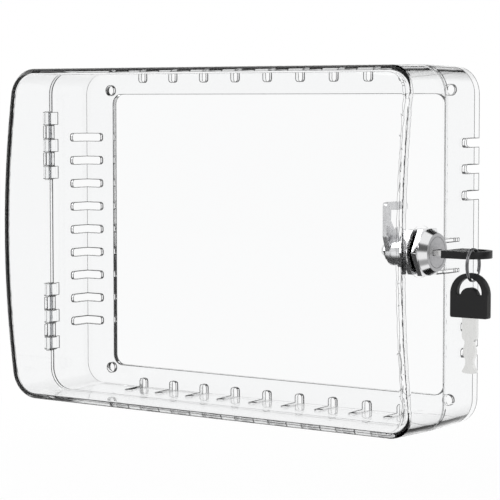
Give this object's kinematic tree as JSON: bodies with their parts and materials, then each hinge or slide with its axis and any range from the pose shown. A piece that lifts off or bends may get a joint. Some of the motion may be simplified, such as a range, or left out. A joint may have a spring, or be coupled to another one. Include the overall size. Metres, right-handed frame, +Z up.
{
  "type": "thermostat lock box",
  "caption": "Clear plastic thermostat guard with a bowed hinged cover, slotted wall tray, side cam lock, key in the lock and a spare key on a split ring",
  "frame": {"origin": "middle of the four screw holes, on the plane of the wall that the tray's back lies against", "axes": "+X towards the lock, +Y into the wall, +Z up"},
  "size_m": [0.2658, 0.0637, 0.16],
  "materials": {
    "clear_plastic": "clear polished polycarbonate, moulded",
    "steel": "stainless steel, drawn or satin",
    "black_rubber": "matt black rubber",
    "chrome": "polished chrome plate",
    "zinc_plate": "bright zinc plate, slightly blue",
    "brass": "bare stamped brass",
    "nickel": "nickel plate, milled",
    "black_plastic": "satin black moulded plastic"
  },
  "bodies": {
    "tray": {"wall_tray": "clear_plastic", "upper_hinge_pin": "steel", "lower_hinge_pin": "steel"},
    "cover": {"clear_cover": "clear_plastic", "lock_gasket": "black_rubber", "outer_nut": "chrome", "lock_bezel": "chrome", "lock_housing": "chrome", "nut_washer": "zinc_plate", "lock_nut": "zinc_plate"},
    "plug": {"lock_plug": "zinc_plate", "plug_face": "steel", "wafers": "brass", "wafer_springs": "steel", "stop_washer": "zinc_plate", "hook_cam": "zinc_plate", "cam_spring_washer": "steel", "cam_screw": "zinc_plate"},
    "key": {"key_blade": "nickel", "key_bow": "black_plastic"},
    "ring": {"split_ring": "chrome"},
    "spare_key": {"spare_key_blade": "nickel", "spare_key_bow": "black_plastic"}
  },
  "joints": [
    {"name": "cover_hinge", "type": "hinge", "parent": "tray", "child": "cover", "pos_m": [-0.1149, -0.028, 0], "axis": [0, 0, -1], "range_deg": [0, 135]},
    {"name": "plug_turn", "type": "hinge", "parent": "cover", "child": "plug", "pos_m": [0.1119, -0.0468, 0.0006], "axis": [1, 0, 0], "range_deg": [-90, 0]},
    {"name": "key_withdraw", "type": "slide", "parent": "plug", "child": "key", "axis": [1, 0, 0], "range_m": [0, 0.024]},
    {"name": "ring_swing", "type": "hinge", "parent": "key", "child": "ring", "pos_m": [0.13987, -0.05299, 0.00215], "axis": [0.9903, 0.1392, 0], "range_deg": [-10, 10]},
    {"name": "spare_key_swing", "type": "hinge", "parent": "ring", "child": "spare_key", "pos_m": [0.13987, -0.05299, -0.0097], "axis": [0, 1, 0], "range_deg": [-25, 25]}
  ]
}
